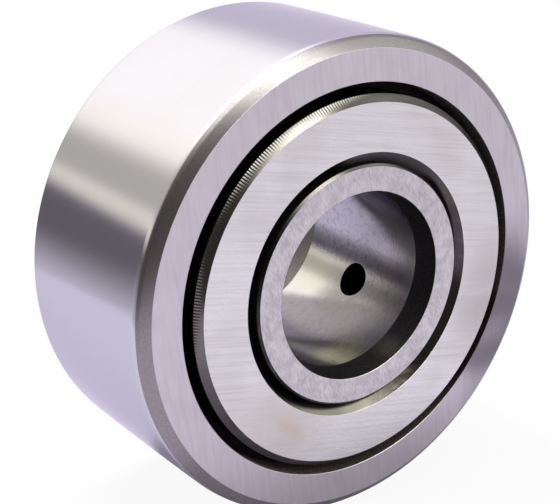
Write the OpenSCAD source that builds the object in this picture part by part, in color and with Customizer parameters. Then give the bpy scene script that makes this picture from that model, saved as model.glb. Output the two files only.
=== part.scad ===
// Yoke type track roller: a thick crowned outer ring runs on caged needle rollers
// around an inner ring, and two flange rings pressed on the inner ring guide it.
// The axle lies along Y, the front faces look towards -Y, and +Z is up.
// Every profile is drawn as [radius, place along the axle], with the front positive.

/* [Width and bore] */
// Width over the inner ring and both flange rings
overall_w = 15; // [14:0.5:18]
// Bore that takes the axle
bore_d = 12; // [10:0.5:13]
// Radial size of the tapered lead-in at both ends of the bore
bore_lead = 0.25; // [0.1:0.05:0.5]
// Axial length of the front lead-in
front_lead_w = 1.75; // [0.5:0.05:3]
// Axial length of the rear lead-in
rear_lead_w = 2.2; // [0.5:0.05:3]

/* [Outer ring] */
// Outside diameter at the top of the crown
roller_d = 32; // [30:0.5:40]
// Radius of the crown along the running surface
crown_r = 500; // [200:50:1000]
// Radial size of the chamfer beside the running surface
rim_chamfer = 0.85; // [0.3:0.05:1.2]
// Axial size of the chamfer beside the running surface
rim_chamfer_w = 0.6; // [0.3:0.05:1.2]

/* [Inner ring] */
// Diameter of the inner raceway, on which the flange rings are pressed
raceway_d = 16; // [15:0.5:17]
// Chamfer at the outer edge of both end faces
face_chamfer = 0.15; // [0.05:0.05:0.3]
// Diameter of the lubrication hole through the wall
grease_hole_d = 2.4; // [1.5:0.1:3]
// Angle of the lubrication hole below the horizontal, seen from the front
grease_hole_angle = 30.5; // [0:0.5:90]

/* [Flange rings] */
// Outside diameter of a flange ring
flange_d = 24.7; // [24:0.1:26]
// Thickness of a flange ring
flange_t = 2.3; // [1.5:0.1:3]
// Height of a flange ring above the end face of the outer ring
flange_stand = 0.5; // [0.2:0.1:1]
// Chamfer at the outside edge of a flange ring
flange_chamfer = 0.45; // [0.2:0.05:0.8]
// Chamfer that leaves a groove round the end of the inner ring
groove_chamfer = 0.75; // [0.3:0.05:1.2]
// Radial gap round a flange ring, which seals the roller
seal_gap = 0.7; // [0.3:0.05:0.8]
// Axial clearance between a flange ring and the outer ring
side_play = 0.1; // [0.05:0.05:0.2]

/* [Needle rollers and cage] */
// Diameter of a needle roller
needle_d = 2.5; // [2:0.1:2.8]
// Number of needle rollers
needle_count = 16; // [12:1:16]
// Rounding at both ends of a needle roller
needle_round = 0.3; // [0.1:0.05:0.6]
// Clearance between a needle roller and each raceway
needle_play = 0.05; // [0.02:0.01:0.1]
// Clearance all round a needle roller in its pocket
pocket_play = 0.06; // [0.02:0.01:0.1]
// Radial thickness of the cage
cage_t = 1.4; // [0.8:0.1:1.6]
// Width of the rim at each end of the cage
cage_rim = 0.7; // [0.4:0.1:1.2]
// Axial gap between the cage and each flange ring
cage_play = 0.15; // [0.05:0.05:0.3]

/* [Hidden] */
$fn = 120;
// Margin by which a cutting tool passes through a wall
cut = 0.5;
// Straight stretches that make up the crown
crown_steps = 12;

half_w = overall_w / 2;
bore_r = bore_d / 2;
bore_front = half_w - front_lead_w;
bore_rear = rear_lead_w - half_w;
bore_middle = (bore_front + bore_rear) / 2;
raceway_r = raceway_d / 2;
roller_r = roller_d / 2;
roller_half_w = half_w - flange_stand;
flange_r = flange_d / 2;
flange_inside = half_w - flange_t;
shoulder = flange_inside - side_play;
recess_r = flange_r + seal_gap;
needle_r = needle_d / 2;
needle_path_r = raceway_r + needle_play + needle_r;
outer_raceway_r = needle_path_r + needle_r + needle_play;
cage_half_w = flange_inside - cage_play;
pocket_half_w = cage_half_w - cage_rim;
needle_half_w = pocket_half_w - pocket_play;
needle_step = 360 / needle_count;

// A bar of the cage, not a needle roller, lies behind the lubrication hole.
first_needle_angle = needle_step / 2 - grease_hole_angle;

function needle_name(i) = str("needle_roller_", i < 10 ? "0" : "", i);
function needle_angle(i) = first_needle_angle + (i - 1) * needle_step;
function crown_radius(z) = roller_r - crown_r + sqrt(pow(crown_r, 2) - pow(z, 2));

ring_names = ["outer_ring", "inner_ring", "front_flange_ring", "rear_flange_ring", "needle_cage"];
needle_names = [for (i = [1 : needle_count]) needle_name(i)];

// Lays a piece made upright along its own axis onto the axle, with its top to the front.
module along_axle() {
    rotate([90, 0, 0])
        children();
}

// Puts a piece at the place of one needle roller.
module at_needle(i) {
    rotate([0, 0, needle_angle(i)])
        translate([needle_path_r, 0, 0])
            children();
}

// Heavy ring with a crowned running surface, a recess for a flange ring at each end
// and the outer raceway between two shoulders.
module outer_ring() {
    crown_half_w = roller_half_w - rim_chamfer_w;
    crown = [
        for (i = [0 : crown_steps])
            let (z = crown_half_w * (2 * i / crown_steps - 1))
            [crown_radius(z), z]
    ];
    rear = [
        [outer_raceway_r, -shoulder],
        [recess_r, -shoulder],
        [recess_r, -roller_half_w],
        [roller_r - rim_chamfer, -roller_half_w]
    ];
    front = [
        [roller_r - rim_chamfer, roller_half_w],
        [recess_r, roller_half_w],
        [recess_r, shoulder],
        [outer_raceway_r, shoulder]
    ];
    color([0.74, 0.72, 0.78])
        along_axle()
            rotate_extrude()
                polygon(concat(rear, crown, front));
}

// Outline of half the inner ring, from the bore to the raceway.
module inner_ring_outline() {
    edge_half_w = half_w - face_chamfer;
    polygon([
        [bore_r, bore_rear],
        [bore_r + bore_lead, -half_w],
        [raceway_r - face_chamfer, -half_w],
        [raceway_r, -edge_half_w],
        [raceway_r, edge_half_w],
        [raceway_r - face_chamfer, half_w],
        [bore_r + bore_lead, half_w],
        [bore_r, bore_front]
    ]);
}

// Sleeve on the axle with the inner raceway and one lubrication hole in the middle of the bore.
module inner_ring() {
    wall = raceway_r - bore_r;
    color([0.80, 0.78, 0.83])
        along_axle()
            difference() {
                rotate_extrude()
                    inner_ring_outline();
                rotate([0, 0, -grease_hole_angle])
                    translate([bore_r - cut, 0, bore_middle])
                        rotate([0, 90, 0])
                            cylinder(h = wall + 2 * cut, d = grease_hole_d);
            }
}

// Washer pressed on the end of the inner ring, flush with its end face.
module flange_ring() {
    rotate_extrude()
        polygon([
            [raceway_r, flange_inside],
            [flange_r, flange_inside],
            [flange_r, half_w - flange_chamfer],
            [flange_r - flange_chamfer, half_w],
            [raceway_r + groove_chamfer, half_w],
            [raceway_r, half_w - groove_chamfer]
        ]);
}

// Flange ring on the side that faces the viewer.
module front_flange_ring() {
    color([0.83, 0.82, 0.85])
        along_axle()
            flange_ring();
}

// Flange ring on the far side, the mirror image of the front one.
module rear_flange_ring() {
    color([0.83, 0.82, 0.85])
        along_axle()
            mirror([0, 0, 1])
                flange_ring();
}

// Sleeve with one round-sided pocket for each needle roller, whose bars hold the rollers apart.
module needle_cage() {
    color([0.45, 0.44, 0.43])
        along_axle()
            difference() {
                cylinder(h = 2 * cage_half_w, r = needle_path_r + cage_t / 2, center = true);
                cylinder(h = 2 * cage_half_w + 2 * cut, r = needle_path_r - cage_t / 2, center = true);
                for (i = [1 : needle_count])
                    at_needle(i)
                        cylinder(h = 2 * pocket_half_w, r = needle_r + pocket_play, center = true);
            }
}

// One needle roller with rounded ends, in its pocket.
module needle_roller(i) {
    color([0.88, 0.88, 0.90])
        along_axle()
            at_needle(i)
                rotate_extrude()
                    needle_outline();
}

// Outline of half a needle roller, with a true arc at each end.
module needle_outline() {
    core_half_w = needle_half_w - needle_round;
    translate([0, -core_half_w])
        square([needle_r, 2 * core_half_w]);
    translate([0, -needle_half_w])
        square([needle_r - needle_round, 2 * needle_half_w]);
    for (end = [-1, 1])
        translate([needle_r - needle_round, end * core_half_w])
            circle(r = needle_round);
}

outer_ring();
inner_ring();
front_flange_ring();
rear_flange_ring();
needle_cage();
for (i = [1 : needle_count])
    needle_roller(i);
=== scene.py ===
"""Yoke type track roller: its ground and turned steel rings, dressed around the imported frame.

Lengths are in metres. The axle lies along Y, the front faces look towards -Y, and +Z is up.
An outline is a closed run of corners, each a radius and a place along the axle.
A span is a pair of values between which something sets in smoothly.
"""

import logging
import math
from dataclasses import dataclass
from enum import Enum

import bmesh
import bpy
from mathutils import Matrix, Vector


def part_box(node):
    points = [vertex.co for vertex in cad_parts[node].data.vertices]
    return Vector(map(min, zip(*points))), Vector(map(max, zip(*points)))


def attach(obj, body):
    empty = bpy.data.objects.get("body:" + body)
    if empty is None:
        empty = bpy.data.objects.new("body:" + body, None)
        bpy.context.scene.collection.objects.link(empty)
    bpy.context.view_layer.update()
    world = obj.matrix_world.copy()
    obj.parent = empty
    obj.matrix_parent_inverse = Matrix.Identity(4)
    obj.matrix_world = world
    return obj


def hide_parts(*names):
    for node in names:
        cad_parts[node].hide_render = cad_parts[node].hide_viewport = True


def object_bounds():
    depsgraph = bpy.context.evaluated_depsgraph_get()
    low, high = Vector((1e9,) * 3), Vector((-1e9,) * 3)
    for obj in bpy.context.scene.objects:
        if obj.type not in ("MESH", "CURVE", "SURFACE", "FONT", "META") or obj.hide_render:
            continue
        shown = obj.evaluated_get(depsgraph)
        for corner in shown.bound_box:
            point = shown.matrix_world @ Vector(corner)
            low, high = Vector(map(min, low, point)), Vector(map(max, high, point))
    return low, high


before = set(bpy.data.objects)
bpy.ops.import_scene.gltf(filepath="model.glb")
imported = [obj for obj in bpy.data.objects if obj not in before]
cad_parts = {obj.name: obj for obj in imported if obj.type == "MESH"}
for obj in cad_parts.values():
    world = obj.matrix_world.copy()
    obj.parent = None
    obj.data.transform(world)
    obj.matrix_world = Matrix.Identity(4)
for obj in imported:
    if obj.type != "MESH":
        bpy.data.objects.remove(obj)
CAD_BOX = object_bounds()

MM = 0.001
MICRON = 1e-6
WHITE = (1.0, 1.0, 1.0, 1.0)
EVEN = (1.0, 1.0, 1.0)
AXLE = Vector((0.0, 1.0, 0.0))

Colour = tuple[float, float, float]
Triple = tuple[float, float, float]
Span = tuple[float, float]
log = logging.getLogger("track_roller")


def mm(x: float, y: float, z: float) -> Triple:
    """Returns three lengths that are given in millimetres."""
    return x * MM, y * MM, z * MM


class Side(Enum):
    """End of the roller, as the sign of its place along the axle."""

    FRONT = -1
    REAR = 1


class Value:
    """Output socket of a node, whose arithmetic adds Math nodes to its tree."""

    def __init__(self, tree: "Tree", socket: bpy.types.NodeSocket) -> None:
        """Wraps one socket of a tree."""
        self.tree = tree
        self.socket = socket

    def __add__(self, other: "Value | float") -> "Value":
        """Returns this value plus the other."""
        return self.tree.math("ADD", self, other)

    def __radd__(self, other: float) -> "Value":
        """Returns the other plus this value."""
        return self.tree.math("ADD", other, self)

    def __sub__(self, other: "Value | float") -> "Value":
        """Returns this value less the other."""
        return self.tree.math("SUBTRACT", self, other)

    def __rsub__(self, other: float) -> "Value":
        """Returns the other less this value."""
        return self.tree.math("SUBTRACT", other, self)

    def __mul__(self, other: "Value | float") -> "Value":
        """Returns this value times the other."""
        return self.tree.math("MULTIPLY", self, other)

    def __rmul__(self, other: float) -> "Value":
        """Returns the other times this value."""
        return self.tree.math("MULTIPLY", other, self)

    def __neg__(self) -> "Value":
        """Returns this value with its sign turned."""
        return self.tree.math("MULTIPLY", self, -1.0)

    def rise(self, low: float, high: float) -> "Value":
        """Returns 0 below low, 1 above high and a smooth step between them.

        Args:
            low: Value at which the step begins.
            high: Value at which it ends.

        Returns:
            The step.
        """
        settings = {"interpolation_type": "SMOOTHSTEP"}
        inputs = {"Value": self, "From Min": low, "From Max": high}
        return self.tree.add("ShaderNodeMapRange", settings, inputs)

    def between(self, low: float, high: float, soft: float) -> "Value":
        """Returns 1 between low and high and 0 outside, with edges of that softness.

        Args:
            low: Value at the middle of the lower edge.
            high: Value at the middle of the upper edge.
            soft: Width of each edge.

        Returns:
            The mask.
        """
        half = soft / 2
        return self.rise(low - half, low + half) * (1 - self.rise(high - half, high + half))


class Tree:
    """Node tree of one material or of the world."""

    # Places of the sockets with which a Mix node mixes colours.
    MIX_FACTOR, MIX_A, MIX_B, MIX_RESULT = 0, 6, 7, 2

    def __init__(self, owner: bpy.types.Material | bpy.types.World) -> None:
        """Empties the owner's node tree, ready for new nodes.

        Args:
            owner: Material or world whose look the nodes make.
        """
        owner.use_nodes = True
        self.nodes = owner.node_tree.nodes
        self.links = owner.node_tree.links
        self.nodes.clear()

    def add(
        self,
        kind: str,
        settings: dict[str, object] | None = None,
        inputs: dict[str | int, object] | None = None,
        output: str | int = 0,
    ) -> Value | None:
        """Adds a node.

        Args:
            kind: Type name of the node.
            settings: Properties of the node, which are set before its sockets.
            inputs: A Value to link, or a plain value to set, for each socket.
            output: Socket to return.

        Returns:
            The output socket, or None for a node that has none.
        """
        node = self.nodes.new(kind)
        for name, setting in (settings or {}).items():
            setattr(node, name, setting)
        for key, value in (inputs or {}).items():
            if isinstance(value, Value):
                self.links.new(value.socket, node.inputs[key])
            else:
                node.inputs[key].default_value = value
        return Value(self, node.outputs[output]) if node.outputs else None

    def math(self, operation: str, first: Value | float, second: Value | float) -> Value:
        """Returns the result of one Math node."""
        return self.add("ShaderNodeMath", {"operation": operation}, {0: first, 1: second})

    def vector_math(self, operation: str, first: Value, second: Value | Triple) -> Value:
        """Returns the result of one Vector Math node."""
        return self.add("ShaderNodeVectorMath", {"operation": operation}, {0: first, 1: second})

    def mix(self, factor: Value, below: Value | tuple, above: Value | tuple) -> Value:
        """Lays one colour over another.

        Args:
            factor: How far the upper colour covers the lower one, from 0 to 1.
            below: The lower colour.
            above: The upper colour.

        Returns:
            The mixed colour.
        """
        inputs = {self.MIX_FACTOR: factor, self.MIX_A: below, self.MIX_B: above}
        settings = {"data_type": "RGBA", "clamp_factor": True}
        return self.add("ShaderNodeMix", settings, inputs, self.MIX_RESULT)

    def axes(self, vector: Value) -> tuple[Value, Value, Value]:
        """Splits a vector.

        Args:
            vector: The vector.

        Returns:
            Its parts along X, Y and Z.
        """
        split = self.add("ShaderNodeSeparateXYZ", None, {0: vector})
        outputs = split.socket.node.outputs
        return tuple(Value(self, outputs[i]) for i in range(3))

    def own(self) -> Value:
        """Returns the object's own coordinates."""
        return self.add("ShaderNodeTexCoord", output="Object")

    def turned(self, vector: Value, turn: float) -> Value:
        """Returns a vector turned about the axle by an angle in degrees."""
        rotation = (0.0, math.radians(turn), 0.0)
        return self.add("ShaderNodeMapping", None, {"Vector": vector, "Rotation": rotation})

    def place(self, turn: float = 0.0, stretch: Triple = EVEN) -> Value:
        """Returns the object's own coordinates, turned about the axle and then stretched.

        Args:
            turn: Angle in degrees by which a pattern's grain leans from the vertical.
            stretch: Factors along X, Y and Z.

        Returns:
            The coordinates.
        """
        turned = self.turned(self.own(), turn)
        return self.add("ShaderNodeMapping", None, {"Vector": turned, "Scale": stretch})

    def reach(self, centre: Triple, stretch: Triple = EVEN, turn: float = 0.0) -> Value:
        """Measures the distance from a point of the object, turned and then stretched.

        Args:
            centre: The point.
            stretch: Factors along X, Y and Z.
            turn: Angle in degrees about the axle.

        Returns:
            The distance.
        """
        away = self.turned(self.vector_math("SUBTRACT", self.own(), centre), turn)
        away = self.vector_math("MULTIPLY", away, stretch)
        return self.add("ShaderNodeVectorMath", {"operation": "LENGTH"}, {0: away}, output="Value")

    def noise(self, vector: Value, detail: float = 2.0) -> Value:
        """Returns cloudy noise of unit size on these coordinates, from 0 to 1."""
        inputs = {"Vector": vector, "Scale": 1.0, "Detail": detail}
        return self.add("ShaderNodeTexNoise", None, inputs)

    def bump(self, height: Value, depth: float) -> Value:
        """Returns the normal of a surface whose height runs over this depth."""
        inputs = {"Height": height, "Strength": 1.0, "Distance": depth}
        return self.add("ShaderNodeBump", None, inputs)


@dataclass(frozen=True)
class StainAndPaintedLight:
    """Soft-edged patch on the metal: some are real stains, others painted highlights and painted
    shade.

    Attributes:
        centre: Middle of the stain.
        size: Half its length along X, Y and Z.
        core: Share of it that is even, within its soft border.
        colour: Colour that the patch gives the metal.
        grain: Size of its flecks.
        strength: How far the metal takes that colour.
        lean: Angle in degrees by which it is turned about the axle.
        roughness: Roughness of the metal under the patch, or 0 where it keeps its own.
    """

    centre: Triple
    size: Triple
    core: float
    colour: Colour
    grain: float
    strength: float = 1.0
    lean: float = 0.0
    roughness: float = 0.0

    # Lean and stretch of the flecks, and the noise over which they set in.
    FLECK_LEAN = 90.0
    FLECK_STRETCH = 0.4
    FLECK_SPAN = (0.1, 0.5)

    def cover(self, tree: Tree) -> Value:
        """Lays the patch on the metal.

        Args:
            tree: Node tree of the material.

        Returns:
            How far the patch covers the metal, from 0 to 1.
        """
        stretch = (1 / self.grain, 1 / self.grain, self.FLECK_STRETCH / self.grain)
        flecks = tree.noise(tree.place(self.FLECK_LEAN, stretch))
        far = tree.reach(self.centre, tuple(1 / half for half in self.size), self.lean)
        return (1 - far.rise(self.core, 1.0)) * flecks.rise(*self.FLECK_SPAN) * self.strength


@dataclass(frozen=True)
class Finish:
    """Bare steel with one kind of working marks; each kind is a subclass.

    Attributes:
        name: Name of the material.
        colour: Colour of the clean metal.
        stain: Colour that the metal shades into.
        roughness: Roughness of the clean metal.
        stains_and_painted_light: Real stains and painted light and shade, each over the ones before
            it.
    """

    name: str
    colour: Colour
    stain: Colour
    roughness: float
    stains_and_painted_light: tuple[StainAndPaintedLight, ...] = ()

    # Tint of the metal where it is seen at a slant.
    SLANT_TINT = (0.78, 0.76, 0.82, 1.0)

    def marks(self, tree: Tree) -> tuple[Value, Value, Value]:
        """Adds the working marks.

        Args:
            tree: Node tree of the material.

        Returns:
            How far the metal shades into its stain, its roughness and its normal.
        """
        raise NotImplementedError

    def colouring(self, tree: Tree, shade: Value) -> Value:
        """Returns the colour of metal that shades this far into its stain."""
        return tree.mix(shade, (*self.colour, 1.0), (*self.stain, 1.0))

    def material(self) -> bpy.types.Material:
        """Makes the material.

        Returns:
            The material, with its working marks, its real stains and its painted light and shade.
        """
        made = bpy.data.materials.new(self.name)
        tree = Tree(made)
        shade, roughness, normal = self.marks(tree)
        colour = self.colouring(tree, shade)
        # Lays the real stains and the patches of painted highlight and painted shade, each over the
        # last.
        for stain in self.stains_and_painted_light:
            cover = stain.cover(tree)
            colour = tree.mix(cover, colour, (*stain.colour, 1.0))
            if stain.roughness:
                roughness = roughness * (1 - cover) + stain.roughness * cover
        inputs = {
            "Base Color": colour,
            "Metallic": 1.0,
            "Roughness": roughness,
            "Specular Tint": self.SLANT_TINT,
            "Normal": normal,
        }
        surface = tree.add("ShaderNodeBsdfPrincipled", None, inputs)
        tree.add("ShaderNodeOutputMaterial", None, {"Surface": surface})
        return made


@dataclass(frozen=True)
class Ground(Finish):
    """Ground metal with fine lines and faint clouds; each way of the lines is a subclass.

    Attributes:
        pitch: Spacing of the lines.
        length: Length over which a line fades.
        depth: Depth of the lines.
        cloud: Size of the clouds.
    """

    pitch: float = 0.16 * MM
    length: float = 14.0 * MM
    depth: float = 0.4 * MICRON
    cloud: float = 5.0 * MM

    # Noise over which clouds and lines set in, and how far they shade the metal.
    CLOUD_DETAIL = 4.0
    CLOUD_SPAN = (0.45, 0.8)
    CLOUD_SHADE = 0.6
    LINE_SPAN = (0.5, 0.75)
    LINE_SHADE = 0.3

    # Shares of the roughness that are even, from the clouds and from the lines.
    EVEN_SHARE = 0.8
    CLOUD_SHARE = 0.3
    LINE_SHARE = 0.2

    def lines(self, tree: Tree) -> Value:
        """Returns the noise of the lines."""
        raise NotImplementedError

    def marks(self, tree: Tree) -> tuple[Value, Value, Value]:
        """Adds lines and clouds; see Finish.marks."""
        lines = self.lines(tree)
        clouds = tree.noise(tree.place(stretch=(1 / self.cloud,) * 3), self.CLOUD_DETAIL)
        shade = clouds.rise(*self.CLOUD_SPAN) * self.CLOUD_SHADE
        shade = shade + lines.rise(*self.LINE_SPAN) * self.LINE_SHADE
        uneven = self.EVEN_SHARE + self.CLOUD_SHARE * clouds + self.LINE_SHARE * lines
        return shade, self.roughness * uneven, tree.bump(lines, self.depth)


@dataclass(frozen=True)
class RoundGround(Ground):
    """Ground or honed round the axle, with lines that follow the turning."""

    def lines(self, tree: Tree) -> Value:
        """Returns lines round the axle."""
        return tree.noise(tree.place(stretch=(1 / self.length, 1 / self.pitch, 1 / self.length)))


@dataclass(frozen=True)
class StraightGround(Ground):
    """Ground flat across the piece, with straight lines.

    Attributes:
        lean: Angle of the lines from the vertical, in degrees.
    """

    pitch: float = 0.35 * MM
    length: float = 6.0 * MM
    depth: float = 0.8 * MICRON
    cloud: float = 4.0 * MM
    lean: float = 0.0

    CLOUD_DETAIL = 3.0
    CLOUD_SPAN = (0.4, 0.75)
    CLOUD_SHADE = 0.5
    LINE_SPAN = (0.35, 0.75)
    LINE_SHADE = 0.6
    EVEN_SHARE = 0.75

    def lines(self, tree: Tree) -> Value:
        """Returns straight lines that lean from the vertical."""
        stretch = (1 / self.pitch, 1 / self.length, 1 / self.length)
        return tree.noise(tree.place(self.lean, stretch))


@dataclass(frozen=True)
class HonedWithPaintedLight(RoundGround):
    """Bore with honed lines, a painted highlight stretch, and painted shade at its front, top and
    bottom.

    Attributes:
        bright: Colour of the painted highlight stretch.
        painted_shade: Colour of the painted shade.
        front: Place along the axle at which the painted shade is deepest.
        rear: Place along the axle from which there is no painted shade.
        fade: Place along the axle at which the painted highlight has faded out.
        high: Height above the axle from which the painted shade at the front is deeper still.
        low: Depth below the axle at which the painted highlight begins.
        lowest: Depth below the axle at which it ends.
        slant: How much deeper the painted highlight ends for each length along the axle.
        soft: Softness of the edges of the stretches.
        painted_shade_strength: How far the painted shade hides the metal's own colour.
        lower_painted_shade: How much deeper the painted shade grows low in the bore, in front of
            the highlight.
    """

    bright: Colour = (0.475, 0.487, 0.463)
    painted_shade: Colour = (0.12, 0.112, 0.118)
    front: float = -6.5 * MM
    rear: float = 3.5 * MM
    fade: float = -1.3 * MM
    high: float = 1.7 * MM
    low: float = 2.2 * MM
    lowest: float = 4.45 * MM
    slant: float = 0.16
    soft: float = 0.5 * MM
    painted_shade_strength: float = 0.85
    lower_painted_shade: float = 0.5

    def colouring(self, tree: Tree, shade: Value) -> Value:
        """Adds the painted highlight stretch and the painted shade; see Finish.colouring."""
        soft = self.soft
        _, y, z = tree.axes(tree.place())
        depth = -z
        top = z.rise(self.high, self.high + 2 * soft) * (1 - y.rise(-2 * soft, 2 * soft))
        bottom = (depth - self.slant * y).rise(self.lowest - soft / 2, self.lowest + soft / 2)
        below = depth.rise(self.low - soft, self.low + soft)
        behind = y.rise(self.fade, self.rear)
        unshaded = y.rise(self.front, self.rear)
        unshaded = unshaded * (1 - self.painted_shade_strength * top) * (1 - self.painted_shade_strength * bottom)
        lower = depth.rise(self.low, 2 * self.low) * (1 - behind)
        unshaded = unshaded * (1 - self.lower_painted_shade * lower)
        colour = super().colouring(tree, shade)
        # Painted highlight where light from the rear would fall, then painted shade over it.
        colour = tree.mix(below * (1 - bottom) * behind, colour, (*self.bright, 1.0))
        return tree.mix(self.painted_shade_strength * (1 - unshaded), colour, (*self.painted_shade, 1.0))


@dataclass(frozen=True)
class Speckled(Finish):
    """Ground face with small dull specks, short pits and clouds.

    Attributes:
        grain: Size of the specks.
        depth: Depth of the pits.
    """

    grain: float = 0.2 * MM
    depth: float = 1.0 * MICRON

    # Lean of the specks from the vertical, and stretch of specks and clouds.
    LEAN = 18.0
    SPECK_STRETCH = (1.7, 1.0, 0.42)
    CLOUD_STRETCH = 0.2
    DETAIL = 3.0

    # Noise over which specks, clouds and pits set in, and how far they shade the metal.
    SPECK_SPAN = (0.35, 0.7)
    SPECK_SHADE = 0.6
    CLOUD_SPAN = (0.35, 0.65)
    CLOUD_SHADE = 0.4
    PIT_SPAN = (0.52, 0.7)

    # Shares of the roughness that are even and from the specks.
    EVEN_SHARE = 0.8
    SPECK_SHARE = 0.5

    def marks(self, tree: Tree) -> tuple[Value, Value, Value]:
        """Adds specks, pits and clouds; see Finish.marks."""
        stretch = tuple(factor / self.grain for factor in self.SPECK_STRETCH)
        specks = tree.noise(tree.place(self.LEAN, stretch), self.DETAIL)
        wide = tree.place(stretch=(self.CLOUD_STRETCH / self.grain,) * 3)
        clouds = tree.noise(wide, self.DETAIL)
        shade = self.SPECK_SHADE * specks.rise(*self.SPECK_SPAN)
        shade = shade + self.CLOUD_SHADE * clouds.rise(*self.CLOUD_SPAN)
        roughness = self.roughness * (self.EVEN_SHARE + self.SPECK_SHARE * specks)
        return shade, roughness, tree.bump(1 - specks.rise(*self.PIT_SPAN), self.depth)


@dataclass(frozen=True)
class Turned(Finish):
    """Turned and left unground: grainy, with fine tool lines round the axle.

    Attributes:
        pitch: Spacing of the tool lines.
        grain: Size of the grain.
        depth: Depth of the marks.
    """

    pitch: float = 0.1 * MM
    grain: float = 0.12 * MM
    depth: float = 1.5 * MICRON

    # Stretch and height of the tool lines, and the noise over which the grain shades the metal.
    LINE_STRETCH = 0.4
    LINE_HEIGHT = 0.5
    GRAIN_DETAIL = 3.0
    GRAIN_SPAN = (0.35, 0.7)

    # Shares of the roughness that are even and from the grain.
    EVEN_SHARE = 0.7
    GRAIN_SHARE = 0.6

    def marks(self, tree: Tree) -> tuple[Value, Value, Value]:
        """Adds tool lines and grain; see Finish.marks."""
        along = self.LINE_STRETCH / self.grain
        lines = tree.noise(tree.place(stretch=(along, 1 / self.pitch, along)))
        grain = tree.noise(tree.place(stretch=(1 / self.grain,) * 3), self.GRAIN_DETAIL)
        roughness = self.roughness * (self.EVEN_SHARE + self.GRAIN_SHARE * grain)
        height = self.LINE_HEIGHT * lines + grain
        return grain.rise(*self.GRAIN_SPAN), roughness, tree.bump(height, self.depth)


@dataclass(frozen=True)
class Corner:
    """Corner of an outline.

    Attributes:
        radius: Distance from the axle.
        place: Place along the axle.
        finish: Finish of the stretch from this corner to the next.
        edge: Size of the break at the edge, or 0 for none.
    """

    radius: float
    place: float
    finish: Finish
    edge: float = 0.0

    def off(self, vertex: Vector) -> float:
        """Returns how far a vertex lies from this corner's circle."""
        radius = math.hypot(vertex.x, vertex.z)
        return math.hypot(radius - self.radius, vertex.y - self.place)


@dataclass
class TurnedPiece:
    """Piece made by turning a closed outline round the axle.

    Attributes:
        steps: Number of flats round the axle.
        edge_segments: Number of flats across a broken edge.
        sharp: Angle in degrees above which an edge is drawn sharp.
    """

    steps: int = 288
    edge_segments: int = 6
    sharp: float = 25.0

    # Names of the piece, of the node it stands for and of its body; SLOT is not used.
    NAME = ""
    NODE = ""
    BODY = "inner_assembly"
    SLOT = ""

    # Distance within which vertices are merged.
    MERGED = 0.1 * MICRON

    def outline(self) -> list[Corner]:
        """Returns the corners of the outline, in order."""
        raise NotImplementedError

    def shape(self, mesh: bmesh.types.BMesh) -> None:
        """Reworks the turned shape before its edges are broken, where a piece needs that."""

    def build(self) -> bpy.types.Object:
        """Turns the outline, breaks its edges and gives each stretch its finish.

        Returns:
            The finished piece, which stands for its node and rides on its body.
        """
        corners = self.outline()
        finishes = list(dict.fromkeys(corner.finish for corner in corners))
        mesh = self.turn(corners)
        self.colour_stretches(mesh, corners, finishes)
        self.shape(mesh)
        self.break_edges(mesh, corners)
        data = bpy.data.meshes.new(self.NAME)
        mesh.to_mesh(data)
        mesh.free()
        for finish in finishes:
            data.materials.append(finish.material())
        return self.place(data)

    def turn(self, corners: list[Corner]) -> bmesh.types.BMesh:
        """Spins the outline into a closed shell whose faces point outwards.

        Args:
            corners: Corners of the outline.

        Returns:
            The shell.
        """
        mesh = bmesh.new()
        ring = [mesh.verts.new((corner.radius, corner.place, 0.0)) for corner in corners]
        edges = [mesh.edges.new((ring[i - 1], ring[i])) for i in range(len(ring))]
        bmesh.ops.spin(
            mesh,
            geom=ring + edges,
            cent=(0.0, 0.0, 0.0),
            axis=AXLE,
            dvec=(0.0, 0.0, 0.0),
            angle=2 * math.pi,
            steps=self.steps,
            use_merge=True,
        )
        bmesh.ops.remove_doubles(mesh, verts=mesh.verts[:], dist=self.MERGED)
        bmesh.ops.recalc_face_normals(mesh, faces=mesh.faces[:])
        return mesh

    def colour_stretches(
        self, mesh: bmesh.types.BMesh, corners: list[Corner], finishes: list[Finish]
    ) -> None:
        """Gives each face the finish of the stretch of the outline that it was turned from.

        Args:
            mesh: The turned shell.
            corners: Corners of the outline.
            finishes: Finishes in the order of the piece's materials.
        """
        ends = list(zip(corners, corners[1:] + corners[:1]))
        for face in mesh.faces:
            points = [vertex.co for vertex in face.verts]
            misses = [sum(min(a.off(p), b.off(p)) for p in points) for a, b in ends]
            start = corners[misses.index(min(misses))]
            face.material_index = finishes.index(start.finish)

    def break_edges(self, mesh: bmesh.types.BMesh, corners: list[Corner]) -> None:
        """Bevels the edges that the outline says are broken.

        Args:
            mesh: The turned shell.
            corners: Corners of the outline.
        """
        for corner in corners:
            if corner.edge == 0.0:
                continue
            on_corner = {v for v in mesh.verts if corner.off(v.co) < MICRON}
            edges = [e for e in mesh.edges if set(e.verts) <= on_corner]
            bmesh.ops.bevel(
                mesh,
                geom=edges,
                offset=corner.edge,
                segments=self.edge_segments,
                profile=0.5,
                affect="EDGES",
                material=-1,
            )

    def place(self, data: bpy.types.Mesh) -> bpy.types.Object:
        """Makes the piece from its mesh, shades it and ties it to the frame.

        Args:
            data: Mesh of the piece.

        Returns:
            The piece.
        """
        data.shade_smooth()
        data.set_sharp_from_angle(angle=math.radians(self.sharp))
        piece = bpy.data.objects.new(self.NAME, data)
        bpy.context.scene.collection.objects.link(piece)
        shading = piece.modifiers.new("even_shading", "WEIGHTED_NORMAL")
        shading.keep_sharp = True
        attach(piece, self.BODY)
        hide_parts(self.NODE)
        return piece


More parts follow.
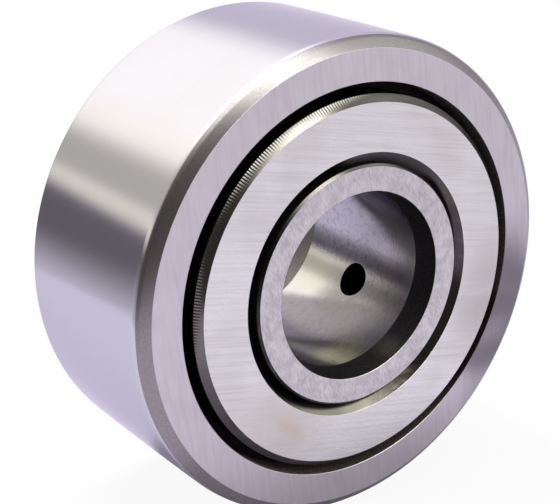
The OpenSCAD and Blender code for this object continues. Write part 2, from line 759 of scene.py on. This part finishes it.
RIM_STEEL = RoundGround(
    name="running_surface_steel",
    colour=(0.52, 0.53, 0.572),
    stain=(0.50, 0.51, 0.535),
    roughness=0.14,
)
END_STEEL = StraightGround(
    name="ring_end_steel",
    colour=(0.50, 0.487, 0.505),
    stain=(0.437, 0.403, 0.437),
    roughness=0.3,
    lean=8.0,
    pitch=0.22 * MM,
    length=3.0 * MM,
    cloud=2.5 * MM,
    stains_and_painted_light=(
        # Painted shade: a dark patch at the lower right of the end face.
        StainAndPaintedLight(
            centre=mm(12.8, -7.0, -6.0),
            size=mm(6.0, 1.0, 9.0),
            core=0.42,
            colour=(0.155, 0.144, 0.157),
            grain=6.0 * MM,
        ),
    ),
)
FLANGE_FACE_STEEL = StraightGround(
    name="flange_face_steel",
    colour=(0.63, 0.64, 0.617),
    stain=(0.505, 0.502, 0.48),
    roughness=0.28,
    lean=78.0,
    pitch=0.12 * MM,
    length=5.0 * MM,
    depth=0.15 * MICRON,
    stains_and_painted_light=(
        StainAndPaintedLight(
            centre=mm(-6.8, -7.5, -8.0),
            size=mm(6.5, 1.0, 4.0),
            core=0.2,
            colour=(0.52, 0.50, 0.455),
            grain=4.0 * MM,
            strength=0.8,
        ),
        StainAndPaintedLight(
            centre=mm(-5.7, -7.5, -8.3),
            size=mm(2.3, 1.0, 0.8),
            core=0.1,
            colour=(0.51, 0.445, 0.36),
            grain=0.5 * MM,
            strength=0.8,
            lean=-42.0,
        ),
        # Painted shade: a greyer patch at the right of the flange face.
        StainAndPaintedLight(
            centre=mm(11.5, -7.5, -4.0),
            size=mm(5.0, 1.0, 7.0),
            core=0.2,
            colour=(0.42, 0.415, 0.39),
            grain=4.0 * MM,
        ),
    ),
)
EDGE_STEEL = Turned(
    name="turned_edge_steel",
    colour=(0.162, 0.152, 0.145),
    stain=(0.138, 0.129, 0.122),
    roughness=0.22,
    depth=0.1 * MICRON,
    stains_and_painted_light=(
        # Painted shade: the lower left of the serrated chamfer is darker.
        StainAndPaintedLight(
            centre=mm(-9.5, -7.3, -8.0),
            size=mm(6.0, 2.0, 9.0),
            core=0.5,
            colour=(0.09, 0.083, 0.083),
            grain=2.0 * MM,
        ),
        # Painted highlight: a brighter patch on the chamfer at the upper left.
        StainAndPaintedLight(
            centre=mm(-4.4, -7.3, 11.3),
            size=mm(3.2, 2.0, 2.2),
            core=0.2,
            colour=(0.235, 0.228, 0.215),
            grain=2.0 * MM,
        ),
        # Painted shade: the inner ring's edge chamfer is near black on its left, which dims its
        # highlight.
        StainAndPaintedLight(
            centre=mm(-7.0, -7.4, -1.2),
            size=mm(3.2, 1.0, 9.0),
            core=0.6,
            colour=(0.035, 0.031, 0.034),
            grain=2.0 * MM,
        ),
    ),
)
INNER_FACE_STEEL = Speckled(
    name="inner_ring_face_steel",
    colour=(0.54, 0.533, 0.53),
    stain=(0.352, 0.344, 0.352),
    roughness=0.3,
    grain=0.14 * MM,
)
# The bore: honed lines, with a painted highlight stretch and painted shade in its colour.
BORE_STEEL = HonedWithPaintedLight(
    name="honed_bore_painted_light_steel",
    colour=(0.41, 0.415, 0.46),
    stain=(0.17, 0.165, 0.17),
    roughness=0.18,
    pitch=0.1 * MM,
    length=0.3 * MM,
    depth=8.0 * MICRON,
    cloud=0.4 * MM,
    stains_and_painted_light=(
        # Painted highlight: olive flecked light low in the bore, near its front.
        StainAndPaintedLight(
            centre=mm(0.5, -4.8, -6.0),
            size=mm(2.8, 2.4, 2.0),
            core=0.3,
            colour=(0.42, 0.43, 0.28),
            grain=0.3 * MM,
        ),
        # Painted shade: near black at the upper right of the bore's front.
        StainAndPaintedLight(
            centre=mm(4.6, -5.0, 3.9),
            size=mm(2.3, 5.5, 2.3),
            core=0.4,
            colour=(0.055, 0.053, 0.056),
            grain=1.0 * MM,
            strength=0.85,
        ),
        # Painted shade: a darker patch low on the right wall, below the lubrication hole.
        StainAndPaintedLight(
            centre=mm(3.9, 0.0, -4.6),
            size=mm(1.7, 3.0, 1.7),
            core=0.3,
            colour=(0.15, 0.145, 0.14),
            grain=0.3 * MM,
            strength=0.6,
        ),
        # Painted reflection: a lighter patch on the right wall towards the front, over the painted
        # shade.
        StainAndPaintedLight(
            centre=mm(6.0, -3.2, -0.3),
            size=mm(1.6, 2.6, 1.5),
            core=0.2,
            colour=(0.40, 0.385, 0.41),
            grain=0.6 * MM,
            strength=0.8,
        ),
    ),
)
# Dark unground scale; on the front lead-in its near black is partly painted shade at the bore's
# front.
SCALE_AND_SHADE_STEEL = Turned(
    name="unground_scale_and_painted_shade_steel",
    colour=(0.046, 0.043, 0.045),
    stain=(0.024, 0.022, 0.023),
    roughness=0.5,
    stains_and_painted_light=(
        # A lighter olive flecked patch at the lower right of the front lead-in.
        StainAndPaintedLight(
            centre=mm(3.1, -6.5, -5.3),
            size=mm(1.3, 1.5, 1.3),
            core=0.2,
            colour=(0.10, 0.095, 0.07),
            grain=0.15 * MM,
            strength=0.7,
        ),
    ),
)
LEAD_STEEL = Turned(
    name="turned_lead_in_steel",
    colour=(0.205, 0.20, 0.185),
    stain=(0.14, 0.137, 0.128),
    roughness=0.45,
)
CHAMFER_STEEL = Turned(
    name="turned_chamfer_steel",
    colour=(0.275, 0.257, 0.264),
    stain=(0.24, 0.222, 0.231),
    roughness=0.3,
    depth=0.15 * MICRON,
)
# Dark turned steel of the groove round the inner ring; its darkness is partly painted shade in the
# groove.
GROOVE_STEEL = Turned(
    name="turned_groove_steel",
    colour=(0.115, 0.108, 0.095),
    stain=(0.075, 0.068, 0.06),
    roughness=0.2,
    stains_and_painted_light=(
        # Painted shade: the groove is darker at its right.
        StainAndPaintedLight(
            centre=mm(8.2, -7.2, 1.4),
            size=mm(2.5, 3.0, 4.5),
            core=0.4,
            colour=(0.062, 0.051, 0.055),
            grain=0.8 * MM,
        ),
        StainAndPaintedLight(
            centre=mm(2.6, -7.2, 8.3),
            size=mm(5.0, 3.0, 4.2),
            core=0.5,
            colour=(0.115, 0.103, 0.112),
            grain=3.0 * MM,
            roughness=0.8,
        ),
        # Painted highlight: two lighter patches at the bottom of the groove.
        StainAndPaintedLight(
            centre=mm(-2.6, -7.2, -8.0),
            size=mm(4.0, 3.0, 3.0),
            core=0.3,
            colour=(0.21, 0.20, 0.175),
            grain=3.0 * MM,
        ),
        StainAndPaintedLight(
            centre=mm(-0.2, -7.2, -8.4),
            size=mm(1.7, 3.0, 3.0),
            core=0.2,
            colour=(0.30, 0.285, 0.25),
            grain=3.0 * MM,
        ),
        # Painted shade: the groove is near black at its lower right, where its highlight ends.
        StainAndPaintedLight(
            centre=mm(4.1, -7.2, -7.4),
            size=mm(3.8, 3.0, 3.8),
            core=0.2,
            colour=(0.026, 0.0235, 0.02),
            grain=0.5 * MM,
        ),
    ),
)
RECESS_STEEL = Turned(
    name="turned_recess_steel",
    colour=(0.25, 0.215, 0.195),
    stain=(0.11, 0.092, 0.084),
    roughness=0.7,
    stains_and_painted_light=(
        # Painted shade: the recess wall is near black at its lower right.
        StainAndPaintedLight(
            centre=mm(11.5, -6.0, -7.5),
            size=mm(6.0, 4.0, 5.5),
            core=0.6,
            colour=(0.06, 0.042, 0.045),
            grain=3.0 * MM,
        ),
    ),
)
# Near black: painted shade on the recess floors and on hidden faces between the rings.
PAINTED_SHADE_STEEL = Turned(
    name="painted_shade_recess_steel",
    colour=(0.012, 0.010, 0.011),
    stain=(0.006, 0.005, 0.006),
    roughness=0.5,
)
RACEWAY_STEEL = RoundGround(
    name="raceway_steel",
    colour=(0.55, 0.54, 0.56),
    stain=(0.47, 0.46, 0.48),
    roughness=0.15,
)
NEEDLE_STEEL = RoundGround(
    name="needle_roller_steel",
    colour=(0.60, 0.60, 0.62),
    stain=(0.52, 0.52, 0.54),
    roughness=0.12,
)
CAGE_STEEL = Turned(
    name="cage_steel",
    colour=(0.16, 0.155, 0.15),
    stain=(0.08, 0.075, 0.07),
    roughness=0.45,
)


@dataclass
class OuterRing(TurnedPiece):
    """Heavy ring with a crowned running surface and a recess at each end.

    Attributes:
        crown_radius: Radius of the crown along the running surface.
        rim_chamfer: Radial size of the chamfer beside the running surface.
        rim_chamfer_width: Axial size of that chamfer.
        rim_round: Size of the rounding between it and the running surface, at the front.
        rear_round: Size of that rounding at the rear.
        recess_radius: Radius of the recess round a flange ring.
        shoulder: Place of the recess floor from mid width.
        raceway_radius: Radius of the outer raceway.
        raceway_break: Break at the raceway's edges.
        recess_break: Break at the edge between a recess and an end face.
        rim_break: Break at the edge between an end face and the rim chamfer.
        crown_steps: Number of flats across the crown.
    """

    crown_radius: float = 500.0 * MM
    rim_chamfer: float = 0.85 * MM
    rim_chamfer_width: float = 0.6 * MM
    rim_round: float = 0.35 * MM
    rear_round: float = 0.08 * MM
    recess_radius: float = 13.05 * MM
    shoulder: float = 5.1 * MM
    raceway_radius: float = 10.6 * MM
    raceway_break: float = 0.1 * MM
    recess_break: float = 0.05 * MM
    rim_break: float = 0.02 * MM
    crown_steps: int = 6

    NAME = "ground_outer_ring"
    NODE = "outer_ring"
    BODY = "outer_ring"
    SLOT = "outer_ring_steel"

    def outline(self) -> list[Corner]:
        """Draws the outline.

        Returns:
            The corners from the front raceway edge over the crown to the rear one.
        """
        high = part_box(self.NODE)[1]
        half_width = high.y
        crown_half = half_width - self.rim_chamfer_width
        rim = high.x - self.rim_chamfer
        crown = []
        for i in range(self.crown_steps + 1):
            place = crown_half * (2 * i / self.crown_steps - 1)
            sag = self.crown_radius - math.sqrt(self.crown_radius**2 - place**2)
            edge = {0: self.rim_round, self.crown_steps: self.rear_round}.get(i, 0.0)
            finish = CHAMFER_STEEL if i == self.crown_steps else RIM_STEEL
            crown.append(Corner(high.x - sag, place, finish, edge))
        front = [
            Corner(self.raceway_radius, -self.shoulder, PAINTED_SHADE_STEEL, self.raceway_break),
            Corner(self.recess_radius, -self.shoulder, RECESS_STEEL),
            Corner(self.recess_radius, -half_width, END_STEEL, self.recess_break),
            Corner(rim, -half_width, CHAMFER_STEEL, self.rim_break),
        ]
        rear = [
            Corner(rim, half_width, END_STEEL, self.rim_break),
            Corner(self.recess_radius, half_width, RECESS_STEEL, self.recess_break),
            Corner(self.recess_radius, self.shoulder, PAINTED_SHADE_STEEL),
            Corner(self.raceway_radius, self.shoulder, RACEWAY_STEEL, self.raceway_break),
        ]
        return front + crown + rear


@dataclass
class InnerRing(TurnedPiece):
    """Sleeve on the axle with tapered lead-ins and one lubrication hole.

    Attributes:
        bore_radius: Radius of the bore.
        lead: Radial size of a lead-in.
        front_lead_width: Axial length of the front lead-in.
        rear_lead_width: Axial length of the rear lead-in.
        bore_break: Break at the edge between the bore and a lead-in.
        mouth_break: Break at the edge between a lead-in and an end face.
        face_chamfer: Chamfer at the outer edge of an end face.
        unground_width: Width of the unground strip outside each end of the raceway.
        hole_diameter: Diameter of the lubrication hole.
        hole_angle: Angle of the hole below the horizontal, in degrees, seen from the front.
        hole_steps: Number of flats round the hole.
        drill_length: Length of the drill that cuts the hole.
        drill_reach: Distance of the drill's middle from the axle.
    """

    bore_radius: float = 6.0 * MM
    lead: float = 0.25 * MM
    front_lead_width: float = 1.75 * MM
    rear_lead_width: float = 2.2 * MM
    bore_break: float = 0.08 * MM
    mouth_break: float = 0.06 * MM
    face_chamfer: float = 0.15 * MM
    unground_width: float = 1.0 * MM
    hole_diameter: float = 2.4 * MM
    hole_angle: float = 30.5
    hole_steps: int = 64
    drill_length: float = 6.0 * MM
    drill_reach: float = 7.5 * MM

    NAME = "ground_inner_ring"
    NODE = "inner_ring"
    SLOT = "inner_ring_steel"

    def outline(self) -> list[Corner]:
        """Draws the outline.

        Returns:
            The corners from the front end of the bore to the rear end.
        """
        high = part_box(self.NODE)[1]
        half_width = high.y
        bore_front, bore_rear = self.bore_ends()
        edge_half = half_width - self.face_chamfer
        raceway_half = half_width - self.unground_width
        mouth = self.bore_radius + self.lead
        face = high.x - self.face_chamfer
        return [
            Corner(self.bore_radius, bore_front, SCALE_AND_SHADE_STEEL, self.bore_break),
            Corner(mouth, -half_width, INNER_FACE_STEEL, self.mouth_break),
            Corner(face, -half_width, EDGE_STEEL),
            Corner(high.x, -edge_half, SCALE_AND_SHADE_STEEL),
            Corner(high.x, -raceway_half, RACEWAY_STEEL),
            Corner(high.x, raceway_half, SCALE_AND_SHADE_STEEL),
            Corner(high.x, edge_half, EDGE_STEEL),
            Corner(face, half_width, INNER_FACE_STEEL),
            Corner(mouth, half_width, LEAD_STEEL, self.mouth_break),
            Corner(self.bore_radius, bore_rear, BORE_STEEL, self.bore_break),
        ]

    def bore_ends(self) -> tuple[float, float]:
        """Returns the places along the axle at which the bore meets its lead-ins."""
        low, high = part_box(self.NODE)
        return low.y + self.front_lead_width, high.y - self.rear_lead_width

    def build(self) -> bpy.types.Object:
        """Turns the ring and drills its lubrication hole.

        Returns:
            The finished piece; see TurnedPiece.build.
        """
        piece = super().build()
        self.drill(piece)
        return piece

    def drill(self, piece: bpy.types.Object) -> None:
        """Cuts the lubrication hole through the wall and leaves the cut in the mesh.

        Args:
            piece: The turned ring.
        """
        drill = bmesh.new()
        bmesh.ops.create_cone(
            drill,
            cap_ends=True,
            segments=self.hole_steps,
            radius1=self.hole_diameter / 2,
            radius2=self.hole_diameter / 2,
            depth=self.drill_length,
        )
        outwards = Matrix.Translation((0.0, 0.0, self.drill_reach))
        aside = Matrix.Rotation(math.radians(90.0 + self.hole_angle), 4, "Y")
        along = Matrix.Translation((0.0, sum(self.bore_ends()) / 2, 0.0))
        bmesh.ops.transform(drill, matrix=along @ aside @ outwards, verts=drill.verts[:])
        for face in drill.faces:
            face.material_index = piece.data.materials.find(SCALE_AND_SHADE_STEEL.name)
        data = bpy.data.meshes.new("drill")
        drill.to_mesh(data)
        drill.free()
        cutter = bpy.data.objects.new("drill", data)
        bpy.context.scene.collection.objects.link(cutter)
        shading = piece.modifiers[0]
        shading.show_viewport = False
        cut = piece.modifiers.new("hole", "BOOLEAN")
        cut.operation = "DIFFERENCE"
        cut.solver = "EXACT"
        cut.object = cutter
        evaluated = piece.evaluated_get(bpy.context.evaluated_depsgraph_get())
        piece.data = bpy.data.meshes.new_from_object(evaluated)
        piece.modifiers.remove(cut)
        shading.show_viewport = True
        bpy.data.objects.remove(cutter)
        piece.data.set_sharp_from_angle(angle=math.radians(self.sharp))


@dataclass
class FlangeRing(TurnedPiece):
    """Washer pressed on the end of the inner ring, with a finely serrated edge.

    Attributes:
        side: End of the roller that it closes.
        teeth: Number of serrations round the edge.
        tooth_depth: Depth of a serration.
        edge_chamfer: Chamfer at the outside edge, across which the serrations run.
        groove_chamfer: Chamfer that leaves a groove round the end of the inner ring.
        groove_break: Break at the edge between that chamfer and the face.
        inside_break: Break at the inside edge of the rim.
        shank_width: Width of the clean strip behind the edge chamfer.
        root: Share of the chamfer over which a serration runs out at the face.
    """

    side: Side = Side.FRONT
    teeth: int = 400
    tooth_depth: float = 0.018 * MM
    edge_chamfer: float = 0.45 * MM
    groove_chamfer: float = 0.75 * MM
    groove_break: float = 0.05 * MM
    inside_break: float = 0.1 * MM
    shank_width: float = 0.2 * MM
    root: float = 0.2
    sharp: float = 12.0

    SLOT = "flange_steel"

    # Corners of the outline across which the serrations run.
    SERRATED = slice(3, 5)

    def __post_init__(self) -> None:
        """Takes the names of its side, and two flats for each serration."""
        self.NAME = f"serrated_{self.side.name.lower()}_flange"
        self.NODE = f"{self.side.name.lower()}_flange_ring"
        self.steps = 2 * self.teeth

    def outline(self) -> list[Corner]:
        """Draws the outline.

        Returns:
            The corners from the bottom of the groove outwards and back inside.
        """
        low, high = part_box(self.NODE)
        end = self.side.value
        outside, inside = max(-low.y, high.y), min(abs(low.y), abs(high.y))
        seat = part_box("inner_ring")[1].x
        face = high.x - self.edge_chamfer
        run_out = self.root * self.edge_chamfer
        shank = self.edge_chamfer + self.shank_width
        return [
            Corner(seat, end * (outside - self.groove_chamfer), GROOVE_STEEL),
            Corner(seat + self.groove_chamfer, end * outside, FLANGE_FACE_STEEL, self.groove_break),
            Corner(face, end * outside, EDGE_STEEL),
            Corner(face + run_out, end * (outside - run_out), EDGE_STEEL),
            Corner(high.x, end * (outside - self.edge_chamfer), EDGE_STEEL),
            Corner(high.x, end * (outside - shank), PAINTED_SHADE_STEEL),
            Corner(high.x, end * inside, PAINTED_SHADE_STEEL, self.inside_break),
            Corner(seat, end * inside, PAINTED_SHADE_STEEL),
        ]

    def shape(self, mesh: bmesh.types.BMesh) -> None:
        """Sinks every other flat's edge across the chamfer, which leaves the serrations.

        Args:
            mesh: The turned shell.
        """
        sunk = self.tooth_depth * math.sqrt(0.5)
        for corner in self.outline()[self.SERRATED]:
            valley = [
                vertex
                for vertex in mesh.verts
                if corner.off(vertex.co) < MICRON and self.column(vertex.co) % 2
            ]
            inwards = 1 - sunk / corner.radius
            bmesh.ops.scale(mesh, vec=(inwards, 1.0, inwards), verts=valley)
            bmesh.ops.translate(mesh, vec=(0.0, -self.side.value * sunk, 0.0), verts=valley)

    def column(self, point: Vector) -> int:
        """Returns which flat's edge a point lies on, counted round the axle."""
        return round(math.atan2(point.z, point.x) / (2 * math.pi) * self.steps)


@dataclass
class NeedleSet:
    """Caged needle rollers between the two rings, kept as the frame has them."""

    # Name of the cage's node, and how the names of all its nodes begin.
    CAGE = "needle_cage"
    PREFIX = "needle_"

    def dress(self) -> list[bpy.types.Object]:
        """Gives the cage and every needle roller its finish.

        Returns:
            The dressed pieces.
        """
        cage = CAGE_STEEL.material()
        needle = NEEDLE_STEEL.material()
        dressed = []
        for name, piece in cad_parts.items():
            if not name.startswith(self.PREFIX):
                continue
            piece.data.materials.clear()
            piece.data.materials.append(cage if name == self.CAGE else needle)
            dressed.append(piece)
        return dressed


@dataclass(frozen=True)
class Surroundings:
    """Soft studio that the steel mirrors, in front of the roller and behind it.

    A direction has a turn, its angle over the axle from the left horizon upwards in degrees,
    and y, its part along the axle.

    Attributes:
        seam: Span of y over which the front gives way to the rear.
        dim_wall: Turns between which the rear wall is dim.
        strip: Turns between which a bright strip runs below it.
        wall_soft: Width of the soft edges of both.
        board_foot: Span of turns over which the dark board at the rear left sets in.
        board_head: Span of turns over which it ends.
        board_lean: How much its foot turns for each step of y.
        board_near: Least y that counts for that.
        board_level: Value of y at which its foot is where its span says.
        rear_box_foot: Span of turns over which the rear softbox sets in.
        rear_box_head: Span of turns over which it ends.
        rear_box_lean: How much its head turns for each step of y.
        rear_box_level: Value of y at which its head is where its span says.
        rear_box_dims: Span of y over which it grows dimmer.
        rear_box_cools: Span of turns over which its warm foot ends.
        end_wall: Span of y over which the dim end wall sets in.
        side_wall: Span of turns over which the bright wall at the front right sets in.
        side_wall_end: Span of y over which it ends.
        front_foot: Span of turns over which the dark front sets in, above its pale foot.
        front_box_foot: Span of turns over which the front softbox sets in.
        front_box_head: Span of turns over which it ends.
        front_box_side: Span of turns below which it never reaches.
        front_box_lean: How much it turns for each step of y.
        front_box_near: Greatest y that counts for that.
        front_box_level: Value of y at which it is where its spans say.
    """

    seam: Span = (-0.2, 0.3)
    dim_wall: Span = (20.0, 46.0)
    strip: Span = (10.0, 21.0)
    wall_soft: float = 6.0
    board_foot: Span = (-42.0, -6.0)
    board_head: Span = (6.5, 15.5)
    board_lean: float = 100.0
    board_near: float = 0.7
    board_level: float = 0.82
    rear_box_foot: Span = (35.0, 54.0)
    rear_box_head: Span = (112.0, 138.0)
    rear_box_lean: float = 40.0
    rear_box_level: float = 0.76
    rear_box_dims: Span = (0.35, 0.7)
    rear_box_cools: Span = (48.0, 72.0)
    end_wall: Span = (0.88, 0.97)
    side_wall: Span = (110.0, 140.0)
    side_wall_end: Span = (-0.2, 0.1)
    front_foot: Span = (-22.0, -10.0)
    front_box_foot: Span = (58.0, 106.0)
    front_box_head: Span = (113.0, 137.0)
    front_box_side: Span = (44.0, 62.0)
    front_box_lean: float = 110.0
    front_box_near: float = -0.45
    front_box_level: float = -0.6

    # Colours of its lights and walls, and of the plain light on matt surfaces.
    PALE = (1.0, 0.92, 1.05, 1.0)
    DIM_WALL = (0.76, 0.71, 0.63, 1.0)
    STRIP = (1.30, 1.21, 1.03, 1.0)
    BOARD = (0.20, 0.172, 0.195, 1.0)
    REAR_BOX = (3.2, 2.95, 2.94, 1.0)
    DIMMER_BOX = (1.90, 1.80, 1.70, 1.0)
    WARM_FOOT = (1.85, 1.70, 1.50, 1.0)
    END_WALL = (0.35, 0.305, 0.40, 1.0)
    DARK_FRONT = (0.12, 0.11, 0.10, 1.0)
    SIDE_WALL = (1.40, 1.44, 1.30, 1.0)
    FRONT_BOX = (6.2, 6.2, 5.7, 1.0)
    MATT = (0.85, 0.85, 0.85, 1.0)

    def build(self) -> None:
        """Makes the world: white to the camera, plain to matt surfaces, a studio to the steel."""
        world = bpy.data.worlds.new("studio")
        bpy.context.scene.world = world
        tree = Tree(world)
        x, y, z = tree.axes(tree.add("ShaderNodeTexCoord", output="Generated"))
        turn = tree.math("ARCTAN2", z, -x) * math.degrees(1.0)
        front = self.front_light(tree, turn, y)
        rear = self.rear_light(tree, turn, y)
        light = tree.mix(y.rise(*self.seam), front, rear)
        matt = tree.add("ShaderNodeLightPath", output="Is Diffuse Ray")
        camera = tree.add("ShaderNodeLightPath", output="Is Camera Ray")
        sky = tree.mix(camera, tree.mix(matt, light, self.MATT), WHITE)
        shader = tree.add("ShaderNodeBackground", None, {"Color": sky, "Strength": 1.0})
        tree.add("ShaderNodeOutputWorld", None, {"Surface": shader})

    def rear_light(self, tree: Tree, turn: Value, y: Value) -> Value:
        """Adds the light behind the roller.

        Args:
            tree: Node tree of the world.
            turn: Turn of a direction.
            y: Its part along the axle.

        Returns:
            The colour of the light.
        """
        dim = turn.between(*self.dim_wall, self.wall_soft)
        light = tree.mix(dim, self.PALE, self.DIM_WALL)
        light = tree.mix(turn.between(*self.strip, self.wall_soft), light, self.STRIP)
        near = tree.math("MAXIMUM", y, self.board_near)
        leaning = turn + self.board_lean * (near - self.board_level)
        board = leaning.rise(*self.board_foot) * (1 - turn.rise(*self.board_head))
        light = tree.mix(board, light, self.BOARD)
        tilted = turn + self.rear_box_lean * (self.rear_box_level - y)
        box = turn.rise(*self.rear_box_foot) * (1 - tilted.rise(*self.rear_box_head))
        glow = tree.mix(y.rise(*self.rear_box_dims), self.REAR_BOX, self.DIMMER_BOX)
        glow = tree.mix(turn.rise(*self.rear_box_cools), self.WARM_FOOT, glow)
        light = tree.mix(box, light, glow)
        return tree.mix(y.rise(*self.end_wall), light, self.END_WALL)

    def front_light(self, tree: Tree, turn: Value, y: Value) -> Value:
        """Adds the light in front of the roller; see rear_light."""
        wall = turn.rise(*self.side_wall) * (1 - y.rise(*self.side_wall_end))
        light = tree.mix(wall, self.DARK_FRONT, self.SIDE_WALL)
        light = tree.mix(turn.rise(*self.front_foot), self.PALE, light)
        near = tree.math("MINIMUM", y, self.front_box_near)
        leaning = turn + self.front_box_lean * (near - self.front_box_level)
        box = leaning.rise(*self.front_box_foot) * (1 - leaning.rise(*self.front_box_head))
        return tree.mix(box * turn.rise(*self.front_box_side), light, self.FRONT_BOX)


@dataclass
class Studio:
    """Pale floor, lamp and camera, within their surroundings.

    Attributes:
        floor_radius: Radius of the floor.
        floor_white: Share of the floor's look that is plain white to the camera.
        floor_shine: Share that is plain white in reflections.
        floor_fade: Shares of its radius between which it fades to plain white.
        sun_turn: Angle from the front round to the lamp, towards the left, in degrees.
        sun_height: Angle of the lamp above the horizon, in degrees.
        sun_power: Strength of the lamp.
        sun_size: Angle that the lamp fills, in degrees.
        azimuth: Angle of the camera round the roller, in degrees.
        elevation: Angle of the camera above the horizon, in degrees.
        distance: Distance of the camera from the middle of the front face.
        aside: Shift of the camera to its right.
        above: Shift of the camera along its own upward axis.
        lens: Focal length in millimetres.
    """

    floor_radius: float = 62.0 * MM
    floor_white: float = 0.92
    floor_shine: float = 0.08
    floor_fade: Span = (0.4, 0.9)
    sun_turn: float = 165.0
    sun_height: float = 74.0
    sun_power: float = 2.8
    sun_size: float = 20.0
    azimuth: float = -35.70
    elevation: float = 20.38
    distance: float = 89.71 * MM
    aside: float = -4.889 * MM
    above: float = 2.054 * MM
    lens: float = 90.53

    # Colour of the floor, number of flats round it, and the camera's sensor width in millimetres.
    FLOOR_COLOUR = (0.62, 0.57, 0.68, 1.0)
    FLOOR_STEPS = 128
    SENSOR_WIDTH = 36.0

    def build(self) -> None:
        """Makes the floor, the light and the camera."""
        self.make_floor()
        Surroundings().build()
        self.make_lamp()
        self.make_camera()

    def make_floor(self) -> None:
        """Makes a round white floor under the roller that keeps its shadow."""
        mesh = bmesh.new()
        bmesh.ops.create_circle(
            mesh, cap_ends=True, segments=self.FLOOR_STEPS, radius=self.floor_radius
        )
        bmesh.ops.translate(mesh, vec=(0.0, 0.0, CAD_BOX[0].z), verts=mesh.verts[:])
        data = bpy.data.meshes.new("floor")
        mesh.to_mesh(data)
        mesh.free()
        data.materials.append(self.floor_material())
        floor = bpy.data.objects.new("floor", data)
        bpy.context.scene.collection.objects.link(floor)

    def floor_material(self) -> bpy.types.Material:
        """Makes the floor's white, which shadows darken a little.

        Returns:
            The material.
        """
        made = bpy.data.materials.new("pale_floor")
        tree = Tree(made)
        inner, outer = (share * self.floor_radius for share in self.floor_fade)
        far = tree.reach((0.0, 0.0, CAD_BOX[0].z)).rise(inner, outer)
        seen = tree.add("ShaderNodeLightPath", output="Is Camera Ray")
        mirrored = tree.add("ShaderNodeLightPath", output="Is Glossy Ray")
        mirrored = mirrored + tree.add("ShaderNodeLightPath", output="Is Transmission Ray")
        white = seen * (self.floor_white + (1 - self.floor_white) * far)
        white = white + mirrored * self.floor_shine
        matt = tree.add("ShaderNodeBsdfDiffuse", None, {"Color": self.FLOOR_COLOUR})
        glow = tree.add("ShaderNodeEmission", None, {"Color": WHITE, "Strength": 1.0})
        surface = tree.add("ShaderNodeMixShader", None, {0: white, 1: matt, 2: glow})
        tree.add("ShaderNodeOutputMaterial", None, {"Surface": surface})
        return made

    def make_lamp(self) -> None:
        """Makes the lamp behind the roller's left, which throws its soft shadow on the floor."""
        lamp = bpy.data.lights.new("lamp", "SUN")
        lamp.energy = self.sun_power
        lamp.angle = math.radians(self.sun_size)
        hung = bpy.data.objects.new("lamp", lamp)
        bpy.context.scene.collection.objects.link(hung)
        turn, height = math.radians(self.sun_turn), math.radians(self.sun_height)
        towards = Vector(
            (
                -math.sin(turn) * math.cos(height),
                -math.cos(turn) * math.cos(height),
                math.sin(height),
            )
        )
        hung.rotation_mode = "QUATERNION"
        hung.rotation_quaternion = towards.to_track_quat("Z", "Y")
        hung.visible_glossy = False

    def make_camera(self) -> None:
        """Puts the camera where the roller is seen from the left, a little above."""
        azimuth, elevation = math.radians(self.azimuth), math.radians(self.elevation)
        right = Vector((math.cos(azimuth), math.sin(azimuth), 0.0))
        back = Vector(
            (
                math.sin(azimuth) * math.cos(elevation),
                -math.cos(azimuth) * math.cos(elevation),
                math.sin(elevation),
            )
        )
        up = back.cross(right)
        face = Vector((0.0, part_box("outer_ring")[0].y, 0.0))
        data = bpy.data.cameras.new("camera")
        data.sensor_fit = "HORIZONTAL"
        data.sensor_width = self.SENSOR_WIDTH
        data.lens = self.lens
        data.clip_start = MM
        camera = bpy.data.objects.new("camera", data)
        bpy.context.scene.collection.objects.link(camera)
        camera.location = face + self.aside * right + self.above * up + self.distance * back
        camera.rotation_mode = "QUATERNION"
        camera.rotation_quaternion = (-back).to_track_quat("-Z", "Y")
        bpy.context.scene.camera = camera


def main() -> None:
    """Builds the roller piece by piece, then its studio."""
    logging.basicConfig(level=logging.INFO, format="%(name)s: %(message)s")
    rings = [OuterRing(), InnerRing(), FlangeRing(side=Side.FRONT), FlangeRing(side=Side.REAR)]
    for ring in rings:
        piece = ring.build()
        log.info("%s stands for %s with %d faces", piece.name, ring.NODE, len(piece.data.polygons))
    for piece in NeedleSet().dress():
        log.info("%s keeps its frame mesh", piece.name)
    Studio().build()
    bpy.context.scene.view_settings.view_transform = "Standard"


if __name__ == "__main__":
    main()
